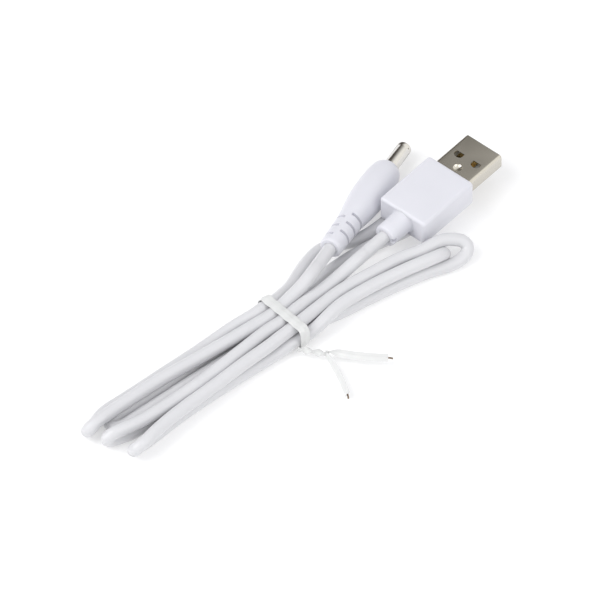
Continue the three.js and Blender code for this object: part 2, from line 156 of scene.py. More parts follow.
def loft(name, rings, place=None, closed=False, sharp_angle=40):
    """A skin over rings of equal count. It is capped at both ends, or closed on itself."""
    count = len(rings[0])
    vertices = [Vector(point) for ring in rings for point in ring]
    if place is not None:
        vertices = [place @ vertex for vertex in vertices]
    faces = []
    last = len(rings) if closed else len(rings) - 1
    for i in range(last):
        low = i * count
        high = ((i + 1) % len(rings)) * count
        for j in range(count):
            k = (j + 1) % count
            faces.append((low + j, low + k, high + k, high + j))
    if not closed:
        faces.append(tuple(reversed(range(count))))
        faces.append(tuple(range(len(vertices) - count, len(vertices))))
    return new_mesh(name, vertices, faces, sharp_angle=sharp_angle)


def carve(piece, *cutters, operation="DIFFERENCE"):
    """Cuts closed meshes out of a piece, or joins them to it, and removes them."""
    for cutter in cutters:
        cut = piece.modifiers.new("cut", "BOOLEAN")
        cut.operation = operation
        cut.solver = "EXACT"
        cut.object = cutter
        bpy.context.view_layer.update()
        graph = bpy.context.evaluated_depsgraph_get()
        result = bpy.data.meshes.new_from_object(piece.evaluated_get(graph))
        piece.modifiers.clear()
        piece.data = result
        bpy.data.objects.remove(cutter)
    finish_mesh(piece)


def circle(x, radius, count=48):
    angles = [2 * math.pi * i / count for i in range(count)]
    return [(x, radius * math.cos(angle), radius * math.sin(angle)) for angle in angles]


def rounded(x, width, height, corner, arc=11):
    """A rounded rectangle across X, with the same number of points for every size."""
    ring = []
    for quarter, (side, top) in enumerate([(1, 1), (-1, 1), (-1, -1), (1, -1)]):
        y = side * (width / 2 - corner)
        z = top * (height / 2 - corner)
        for i in range(arc + 1):
            angle = math.pi / 2 * (quarter + i / arc)
            ring.append((x, y + corner * math.cos(angle), z + corner * math.sin(angle)))
    return ring


def prism(name, outline, z0, z1, place):
    """An upright solid of an outline in X and Y."""
    rings = [[(x, y, z) for x, y in outline] for z in (z0, z1)]
    return loft(name, rings, place)


# ------------------------------------------------------------------ the cable's route
ROUTE_STEP = 1.25
RING_STEP = 1.0           # between the rings of the finished cable
FOLD_ARC = 7.5            # cable nearer than this along its own length can't touch itself
SETTLE_ROUNDS = 260
STIFFNESS = 0.09          # share of its bending that a point gives up in a round
HOME_PULL = 0.02          # share of the way back to the route
RUN_PUSH = 0.42           # share of an overlap that each of two runs moves
HELD_END = 4              # length at either end that stays on the route
TIE_MARGIN = 0.4          # the tie holds the cable this far past its own edges


def own_point(place, x):
    """A point on a plug's axis, in the hank's millimetres."""
    return tuple((place @ Vector((x, 0, 0)) - hank_origin) / MM)


ROUTE = [
    # the USB plug's lead, and on under the tie to the left
    own_point(usb_place, -NECK_START), own_point(usb_place, -NECK_START - 3.5),
    (21, -2.2, 5.8), (14, -2.5, 5.1), (7, -2.8, 5.2), (1, -3.1, 5.4), (-6, -3.7, 5.3),
    (-15, -4.4, 5.2), (-30, -5.6, 5.2), (-45, -5.8, 5.2), (-52, -5.5, 5.2), (-57, -4.6, 5.2),
    # second fold on the left
    (-61.4, -3.4, 4.7), (-62.4, -2.9, 3.3), (-60.4, -3.2, 2.0),
    (-55, -4.2, 1.75), (-45, -5.0, 1.75), (-30, -5.1, 1.75), (-15, -5.2, 1.75), (-6, -5.8, 2.0),
    (0, -6.6, 2.3), (7, -7.8, 1.9), (14, -9.2, 1.75), (23, -10.4, 1.75), (32, -11.9, 1.75),
    (42, -14.1, 1.75), (48, -15.9, 1.75),
    # outermost fold on the right
    (52.3, -16.4, 2.3), (54.2, -15.0, 3.7), (53, -13.1, 4.9),
    (49.5, -11.8, 5.4), (44, -10.2, 5.5), (37, -8.1, 5.5), (27, -6.8, 5.3), (18, -6.0, 5.2),
    (9, -6.6, 5.3), (0, -7.4, 5.4), (-8, -8.0, 5.2), (-16, -8.2, 5.2), (-30, -9.0, 5.2),
    (-45, -9.9, 5.3), (-53.5, -11.2, 5.4),
    # lowest fold on the left
    (-58.2, -11.9, 4.9), (-59.9, -10.7, 3.5), (-57.6, -9.8, 2.2),
    (-52, -9.5, 1.75), (-44, -8.8, 1.75), (-34, -8.2, 1.75), (-22, -8.4, 1.75), (-9, -9.0, 1.9),
    (0, -9.5, 2.4), (4, -9.9, 3.0), (8, -10.0, 4.1), (14, -9.6, 5.1), (25, -10.2, 5.2),
    (37, -12.1, 5.2), (43, -13.4, 5.1),
    # fold inside the outermost one
    (46.8, -13.7, 4.6), (48.2, -12.3, 3.4), (46.8, -10.6, 2.2),
    (43, -9.5, 1.75), (32, -8.0, 1.75), (18, -5.4, 1.75), (8, -3.6, 1.9), (0, -2.9, 2.3),
    (-8, -2.2, 1.9), (-16, -1.9, 1.75), (-30, -1.6, 1.75), (-42, -1.4, 1.75), (-49, -1.2, 1.75),
    # fold that lies flat on the left
    (-54.6, -1.2, 1.75), (-57.6, 0.6, 1.75), (-55.2, 2.4, 1.75),
    (-48, 2.2, 1.75), (-30, 1.9, 1.75), (-15, 1.5, 1.75), (-7, 1.1, 1.9), (0, 0.8, 2.3),
    (5, 1.4, 2.0), (11, 2.2, 1.75), (22, 3.4, 1.75), (33, 3.2, 1.75), (42, 1.7, 1.75),
    # fold that lies flat under the USB plug
    (49, 0.8, 1.75), (52.6, 3.6, 1.75), (50.2, 6.5, 1.75),
    (45, 6.6, 1.75), (40, 6.4, 1.75), (35, 6.9, 1.75), (31, 8.6, 1.75), (27.4, 10.4, 1.75),
    (24, 10.6, 1.75), (18, 9.0, 1.8), (10, 5.6, 2.2), (5, 3.6, 3.4), (0, 2.8, 4.6),
    (-7, 3.4, 4.0), (-15, 4.5, 2.6), (-24, 5.1, 1.75), (-40, 5.2, 1.75), (-52, 5.0, 1.75),
    # first fold on the left
    (-58.5, 4.3, 1.75), (-62.6, 3.1, 2.1), (-64.0, 2.3, 3.6), (-62.2, 2.1, 4.9),
    (-58, 2.1, 5.2), (-50, 2.2, 5.2), (-38, 2.0, 5.2), (-25, 1.0, 5.2), (-12, 0.0, 5.4),
    (0, -0.4, 5.5),
    # the DC plug's lead
    (5, 0.0, 6.2), (9.5, 0.4, 7.4), own_point(dc_place, -NECK_START - 3.5),
    own_point(dc_place, -NECK_START),
]


def spaced(points, step):
    """The same line with its points an equal step apart."""
    lengths = np.linalg.norm(np.diff(points, axis=0), axis=1)
    along = np.concatenate([[0], np.cumsum(lengths)])
    count = int(round(along[-1] / step)) + 1
    places = np.linspace(0, along[-1], count)
    return np.stack([np.interp(places, along, points[:, axis]) for axis in range(3)], axis=1)


def curve_through(points, step):
    """One smooth curve through the points."""
    knots = np.array(points, float)
    gaps = np.sqrt(np.linalg.norm(np.diff(knots, axis=0), axis=1))
    times = np.concatenate([[0], np.cumsum(gaps)])
    slopes = np.gradient(knots, times, axis=0)
    share = np.linspace(0, 1, 24, endpoint=False)[:, None]
    spans = []
    for i, gap in enumerate(gaps):
        spans.append(
            (2 * share**3 - 3 * share**2 + 1) * knots[i]
            + (share**3 - 2 * share**2 + share) * gap * slopes[i]
            + (3 * share**2 - 2 * share**3) * knots[i + 1]
            + (share**3 - share**2) * gap * slopes[i + 1]
        )
    return spaced(np.vstack([*spans, knots[-1:]]), step)


def to_local(place, path):
    inverse = np.array(place.inverted())
    world = path * MM + np.array(hank_origin)
    return world @ inverse[:3, :3].T + inverse[:3, 3]


def from_local(place, local):
    matrix = np.array(place)
    return (local @ matrix[:3, :3].T + matrix[:3, 3] - np.array(hank_origin)) / MM


def clear_of_block(path, place, low, high):
    """Moves the points that are in a block, or nearer to it than the cable's radius, straight out."""
    local = to_local(place, path)
    low = np.array(low) - CABLE_RADIUS
    high = np.array(high) + CABLE_RADIUS
    depth = np.stack([local - low, high - local], axis=2)
    inside = np.all(depth > 0, axis=(1, 2))
    for i in np.flatnonzero(inside):
        axis, side = np.unravel_index(np.argmin(depth[i]), (3, 2))
        local[i, axis] = (low, high)[side][axis]
    return from_local(place, local)


def clear_of_round(path, place, profile):
    """Moves the points that are in a turned piece, or too near to it, straight out from its axis."""
    local = to_local(place, path)
    stations, radii = np.array(profile).T
    wanted = np.interp(local[:, 0], stations, radii) + CABLE_RADIUS
    away = np.linalg.norm(local[:, 1:], axis=1)
    close = (local[:, 0] > stations[0]) & (local[:, 0] < stations[-1]) & (away < wanted)
    local[close, 1:] *= (wanted[close] / np.maximum(away[close], 0.1))[:, None]
    return from_local(place, local)


def touching_pairs(path):
    """Pairs of points that are near each other but not along the cable."""
    reach = int(FOLD_ARC / ROUTE_STEP)
    offsets = path[:, None, :] - path[None, :, :]
    distances = np.sqrt((offsets**2).sum(axis=2))
    first, second = np.nonzero(distances < 2 * CABLE_DIAMETER)
    keep = second - first > reach
    return first[keep], second[keep]


def settled(path):
    """The route once the cable has pushed its own runs apart and taken up its stiffness, over the
    surface that it lies on, inside the tie and round the two plugs."""
    home = path.copy()
    held = int(HELD_END / ROUTE_STEP)
    wall = TIE_THICKNESS + CABLE_RADIUS
    low = np.array(band_low - hank_origin) / MM + wall
    high = np.array(band_high - hank_origin) / MM - wall
    for turn in range(SETTLE_ROUNDS):
        if turn % 10 == 0:
            first, second = touching_pairs(path)
        bend = np.zeros_like(path)
        bend[2:-2] = path[:-4] - 4 * path[1:-3] + 6 * path[2:-2] - 4 * path[3:-1] + path[4:]
        path = path - STIFFNESS * bend + HOME_PULL * (home - path)
        offset = path[first] - path[second]
        distance = np.maximum(np.linalg.norm(offset, axis=1), 1e-6)
        close = np.maximum(CABLE_DIAMETER - distance, 0)
        push = offset * (RUN_PUSH * close / distance)[:, None]
        np.add.at(path, first, push)
        np.add.at(path, second, -push)
        path = clear_of_block(path, usb_place, *USB_GRIP_BLOCK)
        path = clear_of_round(path, dc_place, DC_PROFILE)
        path[:, 2] = np.maximum(path[:, 2], CABLE_RADIUS)
        tied = np.abs(path[:, 0] - TIE_X) < TIE_WIDTH / 2 + TIE_MARGIN
        path[tied, 1:] = np.clip(path[tied, 1:], low[1:], high[1:])
        path[:held] = home[:held]
        path[-held:] = home[-held:]
    return path


# ------------------------------------------------------------------ sizes of the plugs and the tie
TIE_WIDTH = 3.0
TIE_THICKNESS = 0.6
COLLAR_LENGTH = 7.0
COLLAR_DIAMETER = 6.3
GRIP_LENGTH = 19.9
GRIP_END = COLLAR_LENGTH + GRIP_LENGTH
GRIP_WIDTH = 15.4
GRIP_HEIGHT = 7.8
GRIP_CORNER = 1.0
USB_GRIP_BLOCK = (
    (COLLAR_LENGTH, -GRIP_WIDTH / 2, -GRIP_HEIGHT / 2),
    (GRIP_END, GRIP_WIDTH / 2, GRIP_HEIGHT / 2),
)
SHELL_WIDTH = 12.0
SHELL_HEIGHT = 4.5
SHELL_WALL = 0.3
SHELL_CORNER = 0.8
SHELL_BURIED = 6.5
SHELL_END = GRIP_END + 13.0
WINDOW_X = GRIP_END + 6.1
WINDOW_Y = 2.85
WINDOW_LENGTH = 1.9
WINDOW_WIDTH = 2.6
DIMPLE_X = GRIP_END + 2.4
DIMPLE_BOWL = 1.7          # radius of the bowl pressed into the shell
DIMPLE_CENTRE = SHELL_HEIGHT / 2 + 1.15
RELIEF_LENGTH = 12.0
BULB_END = RELIEF_LENGTH + 23.0
BARREL_END = BULB_END + 9.5
BARREL_DIAMETER = 4.0
BARREL_BORE = 3.3
SLOT_WIDTH = 0.75
SLOT_FLOOR = 2.2          # radius of a slot's floor
SLOT_HALF_ARC = math.radians(76)
DC_PROFILE = [
    (0, 3.0), (4, 3.12), (8, 3.26), (11.5, 3.42), (13.5, 3.62), (15.5, 3.95), (18, 4.28), (20.5, 4.52),
    (23.5, 4.65), (27, 4.6), (30, 4.45), (31.8, 4.28), (33.2, 3.98), (34.2, 3.55), (34.8, 3.1), (35, 2.7),
]


# ------------------------------------------------------------------ materials
def node(tree, kind, **inputs):
    made = tree.nodes.new(kind)
    for name, value in inputs.items():
        made.inputs[name.replace("_", " ")].default_value = value
    return made


def surface(name, colour, roughness, *, metallic=0.0, coat=0.0, subsurface=0.0, shade=0.94,
            mottle=160, grain=2600, relief=0.08, depth=0.00002, stretch=(1, 1, 1), spread=0.06):
    """A material whose colour, roughness and fine relief all vary over the surface."""
    material = bpy.data.materials.new(name)
    material.use_nodes = True
    tree = material.node_tree
    shader = tree.nodes["Principled BSDF"]
    place = tree.nodes.new("ShaderNodeTexCoord")
    mapping = node(tree, "ShaderNodeMapping", Scale=stretch)
    tree.links.new(place.outputs["Object"], mapping.inputs["Vector"])
    broad = node(tree, "ShaderNodeTexNoise", Scale=mottle, Detail=3)
    fine = node(tree, "ShaderNodeTexNoise", Scale=grain, Detail=4, Roughness=0.6)
    tree.links.new(mapping.outputs["Vector"], broad.inputs["Vector"])
    tree.links.new(mapping.outputs["Vector"], fine.inputs["Vector"])
    tint = tree.nodes.new("ShaderNodeValToRGB")
    tint.color_ramp.elements[0].position = 0.3
    tint.color_ramp.elements[0].color = (*[channel * shade for channel in colour], 1)
    tint.color_ramp.elements[1].position = 0.7
    tint.color_ramp.elements[1].color = (*colour, 1)
    tree.links.new(broad.outputs["Fac"], tint.inputs["Fac"])
    tree.links.new(tint.outputs["Color"], shader.inputs["Base Color"])
    gloss = node(tree, "ShaderNodeMapRange")
    gloss.inputs["To Min"].default_value = max(0.02, roughness - spread)
    gloss.inputs["To Max"].default_value = min(1.0, roughness + spread)
    tree.links.new(fine.outputs["Fac"], gloss.inputs["Value"])
    tree.links.new(gloss.outputs["Result"], shader.inputs["Roughness"])
    bump = node(tree, "ShaderNodeBump", Strength=relief, Distance=depth)
    tree.links.new(fine.outputs["Fac"], bump.inputs["Height"])
    tree.links.new(bump.outputs["Normal"], shader.inputs["Normal"])
    shader.inputs["Metallic"].default_value = metallic
    shader.inputs["Coat Weight"].default_value = coat
    shader.inputs["Coat Roughness"].default_value = 0.25
    if subsurface:
        shader.inputs["Subsurface Weight"].default_value = subsurface
        shader.inputs["Subsurface Radius"].default_value = (1.0, 0.95, 0.95)
        shader.inputs["Subsurface Scale"].default_value = 0.0012
    return material


CABLE_WHITE = (0.69, 0.69, 0.705)
MOULDING_WHITE = (0.73, 0.73, 0.775)
white_cable = surface("cable_vinyl", CABLE_WHITE, 0.36, subsurface=0.2, coat=0.08, shade=0.965, mottle=90,
                      grain=1900, relief=0.12)
white_moulding = surface("moulded_vinyl", MOULDING_WHITE, 0.42, subsurface=0.25, shade=0.975, mottle=120,
                         grain=5200, relief=0.22, depth=0.00001)
white_tie = surface("tie_vinyl", (0.74, 0.745, 0.735), 0.3, subsurface=0.15, coat=0.2, shade=0.95, mottle=300,
                    grain=1500, relief=0.25)
shell_nickel = surface("shell_nickel", (0.62, 0.59, 0.53), 0.26, metallic=1, shade=0.97, mottle=260,
                       grain=3000, relief=0.004, spread=0.02, stretch=(0.12, 1, 1))
barrel_nickel = surface("barrel_nickel", (0.70, 0.68, 0.65), 0.13, metallic=1, shade=0.94, mottle=400,
                        grain=5000, relief=0.06, spread=0.04)
contact_gold = surface("contact_gold", (0.83, 0.62, 0.28), 0.2, metallic=1, shade=0.86, mottle=500)
copper_strand = surface("copper_strand", (0.72, 0.36, 0.19), 0.3, metallic=1, shade=0.8, mottle=900,
                        grain=9000, relief=0.5, stretch=(0.2, 1, 1))
# painted shade: the tongue's white nylon is given a dark grey colour, standing in for the shade inside the shell
tongue_darkened_for_shade = surface("tongue_nylon_painted_shade", (0.55, 0.54, 0.50), 0.45, shade=0.9, mottle=400, relief=0.2)
insulator_black = surface("insulator_nylon", (0.02, 0.02, 0.022), 0.4, shade=0.7, mottle=500, relief=0.3)
inner_natural = surface("inner_nylon", (0.66, 0.65, 0.58), 0.5, shade=0.9, mottle=300, relief=0.3)
core_red = surface("core_red", (0.45, 0.03, 0.02), 0.38, shade=0.8, mottle=400, relief=0.15)
core_black = surface("core_black", (0.02, 0.02, 0.022), 0.38, shade=0.7, mottle=400, relief=0.15)
tie_wire = surface("tie_wire", (0.30, 0.22, 0.16), 0.45, metallic=1, shade=0.6, mottle=1500, grain=9000,
                   relief=0.5)


def dress(piece, material):
    piece.data.materials.clear()
    piece.data.materials.append(material)
    return piece


# ------------------------------------------------------------------ the cable
def transported(centres):
    """Ahead, side and up at each point of a line, turning as little as possible along it."""
    ahead = [(b - a).normalized() for a, b in zip(centres[:-1], centres[1:])]
    tangents = [ahead[0]]
    tangents += [(a + b).normalized() for a, b in zip(ahead[:-1], ahead[1:])]
    tangents.append(ahead[-1])
    side = tangents[0].orthogonal().normalized()
    axes = []
    for tangent in tangents:
        side = (side - tangent * side.dot(tangent)).normalized()
        axes.append((tangent, side, tangent.cross(side)))
    return axes


def tube(name, centres, radius, sides=24):
    rings = []
    for centre, (_, side, up) in zip(centres, transported(centres)):
        turns = [2 * math.pi * i / sides for i in range(sides)]
        rings.append([centre + (side * math.cos(a) + up * math.sin(a)) * radius for a in turns])
    return loft(name, rings)


def make_cable():
    path = settled(curve_through(ROUTE, ROUTE_STEP))
    knots = path[::2] if len(path) % 2 else np.vstack([path[::2], path[-1:]])
    fine = curve_through(knots, RING_STEP)
    centres = [Vector(point) * MM + hank_origin for point in fine]
    cable = dress(tube("charging_cord", centres, CABLE_RADIUS * MM), white_cable)
    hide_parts("usb_lead", "dc_lead", "cable_hank", "cable_side_loop")
    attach(cable, "hank")
    return cable, centres


def make_neck(name, place, root, node_name):
    """The short stretch of cable that runs from the cable's end into a plug."""
    steps = 24
    stations = [-NECK_START + (NECK_START + NECK_END) * i / steps for i in range(steps + 1)]
    centres = [place @ Vector((x, 0, 0)) for x in stations]
    centres[0] = root
    neck = dress(tube(name, centres, CABLE_RADIUS * MM), white_cable)
    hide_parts(node_name)
    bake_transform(neck)
    return neck


cable, cable_line = make_cable()
make_neck("usb_neck", usb_place, cable_line[0], "usb_cable_end")
make_neck("dc_neck", dc_place, cable_line[-1], "dc_cable_end")


# ------------------------------------------------------------------ USB-A plug
def fillet(x0, x1, width, height, corner, radius, steps=6):
    """Rings of a rounded edge: x0 is on the end face and x1 on the side."""
    rings = []
    for i in range(steps + 1):
        angle = math.pi / 2 * i / steps
        inset = radius * (1 - math.sin(angle))
        x = x1 + (x0 - x1) * math.cos(angle)
        rings.append(rounded(x, width - 2 * inset, height - 2 * inset, max(corner - inset * 0.6, 0.3)))
    return rings


def make_usb_grip():
    collar = COLLAR_DIAMETER / 2
    bore = CABLE_RADIUS + 0.06
    rings = [rounded(x, 2 * r, 2 * r, r) for x, r in [
        (0, bore), (0, bore + 0.25), (0, collar - 0.5), (0.06, collar - 0.3), (0.2, collar - 0.12),
        (0.45, collar), (3.5, collar + 0.05), (6.5, collar + 0.1), (7.1, collar + 0.2), (7.4, collar + 0.5),
    ]]
    rings += fillet(COLLAR_LENGTH, COLLAR_LENGTH + 0.9, GRIP_WIDTH, GRIP_HEIGHT, GRIP_CORNER, 0.9)
    middle = (COLLAR_LENGTH + GRIP_END) / 2
    for share in (-0.7, -0.35, 0, 0.35, 0.7):
        x = middle + share * (GRIP_LENGTH / 2 - 1)
        rings.append(rounded(x, GRIP_WIDTH, GRIP_HEIGHT, GRIP_CORNER))
    rings += reversed(fillet(GRIP_END, GRIP_END - 1.0, GRIP_WIDTH, GRIP_HEIGHT, GRIP_CORNER, 1.0))
    fit = 0.06
    rings.append(rounded(GRIP_END, SHELL_WIDTH + 0.5, SHELL_HEIGHT + 0.5, SHELL_CORNER + 0.25))
    for x in (GRIP_END - 0.02, GRIP_END - 0.3, GRIP_END - SHELL_BURIED - 10.6):
        rings.append(rounded(x, SHELL_WIDTH + fit, SHELL_HEIGHT + fit, SHELL_CORNER))
    rings.append(rounded(GRIP_END - SHELL_BURIED - 10.7, 2 * bore, 2 * bore, bore))
    grip = loft("usb_grip", rings, usb_place, closed=True)
    notch = [(-1, -4.5), (1.3, -4.5), (1.3, -bore - 0.2), (-1, -bore - 0.2)]
    carve(grip, prism("notch", notch, -0.8, 0.8, usb_place))
    dress(grip, white_moulding)
    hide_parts("usb_overmould")
    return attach(grip, "usb_plug")


def window_outline(side):
    """Square in front and round behind."""
    y = side * WINDOW_Y
    front = WINDOW_X + WINDOW_LENGTH / 2
    outline = [(front, y - WINDOW_WIDTH / 2), (front, y + WINDOW_WIDTH / 2)]
    for i in range(17):
        angle = math.pi / 2 + math.pi * i / 16
        outline.append((
            WINDOW_X + WINDOW_LENGTH / 2 * math.cos(angle) - 0.05,
            y + WINDOW_WIDTH / 2 * math.sin(angle),
        ))
    return outline


def upright(name, profile):
    """A solid of revolution about the dimple's upright line: (height, radius) from the top down."""
    rings = [
        [(DIMPLE_X + r * math.cos(a), r * math.sin(a), z) for a in np.linspace(0, 2 * math.pi, 33)[:-1]]
        for z, r in profile
    ]
    return loft(name, rings, usb_place)


def make_usb_shell():
    start = GRIP_END - SHELL_BURIED
    inner_width = SHELL_WIDTH - 2 * SHELL_WALL
    inner_height = SHELL_HEIGHT - 2 * SHELL_WALL
    inner_corner = SHELL_CORNER - SHELL_WALL
    rim = 0.1
    outer = [rounded(x, SHELL_WIDTH - 2 * d, SHELL_HEIGHT - 2 * d, SHELL_CORNER - d) for x, d in [
        (start, 0), (SHELL_END - 0.5, 0), (SHELL_END - rim, 0.0), (SHELL_END - rim * 0.3, 0.03),
        (SHELL_END, rim),
    ]]
    inner = [rounded(x, inner_width + 2 * d, inner_height + 2 * d, inner_corner + d) for x, d in [
        (SHELL_END, rim * 0.7), (SHELL_END - rim * 0.5, 0.01), (SHELL_END - 0.4, 0), (start, 0),
    ]]
    shell = loft("usb_shell_formed", outer + inner, usb_place, closed=True)
    cutters = [
        prism("window", window_outline(side), bottom, top, usb_place)
        for side in (1, -1)
        for bottom, top in ((1, 4), (-4, -1))
    ]
    top = SHELL_HEIGHT / 2 - 0.05
    boss = [(top, 0.01), (top, 1.6)] + [
        (DIMPLE_CENTRE - (DIMPLE_BOWL + 0.3) * math.cos(a), (DIMPLE_BOWL + 0.3) * math.sin(a))
        for a in np.linspace(0.8, 0.01, 10)
    ]
    carve(shell, upright("boss", boss), operation="UNION")
    cutters.append(upright("bowl", [(DIMPLE_CENTRE - 0.2, 0.01), (DIMPLE_CENTRE - 0.2, 1.65)] + [
        (DIMPLE_CENTRE - DIMPLE_BOWL * math.cos(a), DIMPLE_BOWL * math.sin(a))
        for a in np.linspace(1.3, 0.01, 14)
    ]))
    seam = [(start - 1, -0.04), (SHELL_END + 1, -0.04), (SHELL_END + 1, 0.04), (start - 1, 0.04)]
    cutters.append(prism("seam", seam, -4, -2.1, usb_place))
    carve(shell, *cutters)
    dress(shell, shell_nickel)
    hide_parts("usb_shell")
    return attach(shell, "usb_plug")


make_usb_grip()
make_usb_shell()


# ------------------------------------------------------------------ DC plug
def smooth_profile(points, step):
    stations, radii = np.array(points, float).T
    slopes = np.gradient(radii, stations)
    made = []
    for i in range(len(stations) - 1):
        gap = stations[i + 1] - stations[i]
        for share in np.linspace(0, 1, max(1, int(round(gap / step))), endpoint=False):
            rise = 3 * share**2 - 2 * share**3
            made.append((
                stations[i] + share * gap,
                radii[i] * (1 - rise) + radii[i + 1] * rise
                + gap * (share**3 - 2 * share**2 + share) * slopes[i]
                + gap * (share**3 - share**2) * slopes[i + 1],
            ))
    made.append((stations[-1], radii[-1]))
    return made


def relief_slots():
    """(middle along X, side) of each slot, alternating."""
    pitch = 1.75
    return [(RELIEF_LENGTH - 0.4 - pitch * i, 1 if i % 2 else -1) for i in range(6)]


def make_dc_grip():
    bore = CABLE_RADIUS + 0.06
    edge = 0.05
    profile = smooth_profile(DC_PROFILE, 0.5)
    slots = relief_slots()
    marks = [x for middle, _ in slots for x in (
        middle - SLOT_WIDTH / 2 - edge, middle - SLOT_WIDTH / 2, middle + SLOT_WIDTH / 2,
        middle + SLOT_WIDTH / 2 + edge)]
    stations = sorted({round(float(x), 4) for x, _ in profile} | {round(x, 4) for x in marks})
    known = np.array(profile)
    rings = []
    for x in [0.0, *stations[1:]]:
        radius = float(np.interp(x, known[:, 0], known[:, 1]))
        radius -= 0.35 * max(0.0, 1 - x / 0.5) ** 2
        ring = circle(x, radius, 72)
        for middle, side in slots:
            if abs(x - middle) <= SLOT_WIDTH / 2 + 1e-6:
                ring = [
                    (px, py * SLOT_FLOOR / radius, pz * SLOT_FLOOR / radius)
                    if side * py > radius * math.cos(SLOT_HALF_ARC) else (px, py, pz)
                    for px, py, pz in ring
                ]
        rings.append(ring)
    barrel = BARREL_DIAMETER / 2 + 0.03
    rings += [circle(x, r, 72) for x, r in [
        (BULB_END, barrel + 0.2), (BULB_END - 0.04, barrel), (BULB_END - 3, barrel),
        (BULB_END - 3.1, 3.15), (BULB_END - 14, 3.15), (BULB_END - 14.1, bore), (0, bore),
    ]]
    grip = loft("dc_grip", rings, dc_place, closed=True, sharp_angle=35)
    dress(grip, white_moulding)
    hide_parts("dc_overmould")
    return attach(grip, "dc_plug")


def make_dc_barrel():
    outer = BARREL_DIAMETER / 2
    inner = BARREL_BORE / 2
    start = BULB_END - 4.5
    profile = [
        (start, inner), (start, 2.9), (start + 1.4, 2.9), (start + 1.4, outer), (BARREL_END - 1.6, outer),
        (BARREL_END - 1.5, outer - 0.05), (BARREL_END - 1.35, outer - 0.05), (BARREL_END - 1.25, outer),
        (BARREL_END - 0.45, outer), (BARREL_END - 0.2, outer - 0.06), (BARREL_END - 0.05, outer - 0.16),
        (BARREL_END, outer - 0.27), (BARREL_END - 0.08, inner + 0.03), (BARREL_END - 0.3, inner),
    ]
    barrel = loft("dc_barrel_sleeve", [circle(x, r, 64) for x, r in profile], dc_place, closed=True)
    dress(barrel, barrel_nickel)
    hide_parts("dc_barrel")
    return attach(barrel, "dc_plug")


make_dc_grip()
make_dc_barrel()


# ------------------------------------------------------------------ twist tie
def ribbon_section(width, thickness, wing=0.55, count=13):
    """(across, out) round a ribbon whose middle is raised over its wire."""
    half = width / 2
    top = []
    for i in range(count):
        across = -half + width * i / (count - 1)
        edge = min(1.0, (half - abs(across)) / (thickness * 0.5) + 0.25)
        raised = wing + (1 - wing) * math.exp(-((across / (width * 0.14)) ** 2))
        top.append((across, thickness / 2 * raised * edge))
    bottom = [(across, -out) for across, out in reversed(top)]
    return top + bottom


def ribbon(name, centres, outs, width, thickness, closed=False):
    """A ribbon along a line, with its face towards the given directions."""
    if closed:
        count = len(centres)
        aheads = [(centres[(i + 1) % count] - centres[i - 1]).normalized() for i in range(count)]
    else:
        aheads = [axes[0] for axes in transported(centres)]
    rings = []
    for centre, ahead, out in zip(centres, aheads, outs):
        out = (out - ahead * out.dot(ahead)).normalized()
        across = ahead.cross(out)
        rings.append([
            centre + (across * a + out * b) * MM for a, b in ribbon_section(width, thickness)
        ])
    return loft(name, rings, closed=closed)


def make_tie_band():
    """Round the hank, over every run of the cable that it touches."""
    low = (band_low - hank_origin) / MM
    high = (band_high - hank_origin) / MM
    half = TIE_THICKNESS / 2
    outline = rounded(0, high.y - low.y - 2 * half, high.z - low.z - 2 * half, 1.9, arc=10)
    middle = Vector((0, (low.y + high.y) / 2, (low.z + high.z) / 2))
    corners = [middle + Vector(point) for point in outline]
    dense = []
    for a, b in zip(corners, corners[1:] + corners[:1]):
        count = max(1, int((b - a).length / 0.45))
        dense += [a.lerp(b, i / count) for i in range(count)]
    centres, outs = [], []
    for i, point in enumerate(dense):
        ahead = dense[(i + 1) % len(dense)] - dense[i - 1]
        out = ahead.cross(Vector((1, 0, 0))).normalized()
        if out.dot(point - middle) < 0:
            out = -out
        sag = 0.12 * (math.cos(2 * math.pi * point.y / CABLE_DIAMETER) - 1) * abs(out.z)
        centres.append(at(*(point + out * sag)))
        outs.append(out)
    band = ribbon("tie_loop", centres, outs, TIE_WIDTH, TIE_THICKNESS, closed=True)
    dress(band, white_tie)
    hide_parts("tie_band")
    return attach(band, "hank")


def middle_of(node_name):
    low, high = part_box(node_name)
    return (low + high) / 2


def tail_line(number):
    """The pivot of a tail and its direction."""
    pivot = Vector(joints[f"tie_tail_{number}_bend"]["pos_m"])
    return pivot, (middle_of(f"tie_tail_{number}") - pivot).normalized()


TWIST_START = at(TIE_X - 1.0, -12.1, 2.6)
pivots = [tail_line(number)[0] for number in (1, 2)]
TWIST_END = (pivots[0] + pivots[1]) / 2 + Vector((-0.5, 0.6, 0)) * MM
TWIST_TURNS = 1.25
TWIST_OFFSET = 0.27       # of each ribbon's middle from the pair's own
LOOSE_THICKNESS = 0.5     # of the ribbon outside the band
STRAND_WIDTH = 2.0
WIRE_RADIUS = 0.24


def twist_axes(share):
    """The face and the width direction of the twisted pair at a share of its length."""
    ahead = (TWIST_END - TWIST_START).normalized()
    side = ahead.cross(Vector((0, 0, 1))).normalized()
    up = side.cross(ahead)
    angle = math.pi / 2 + 2 * math.pi * TWIST_TURNS * share
    return side * math.cos(angle) + up * math.sin(angle)


def make_twist():
    """Two ribbons face to face, turned round each other."""
    strands = []
    steps = 36
    for side in (1, -1):
        centres, outs = [], []
        for i in range(steps + 1):
            share = i / steps
            out = twist_axes(share) * side
            centres.append(TWIST_START.lerp(TWIST_END, share) + out * TWIST_OFFSET * MM)
            outs.append(out)
        name = "tie_twist_a" if side > 0 else "tie_twist_b"
        strand = dress(ribbon(name, centres, outs, STRAND_WIDTH, LOOSE_THICKNESS), white_tie)
        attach(strand, "hank")
        strands.append(strand)
    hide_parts("tie_twist")
    return strands


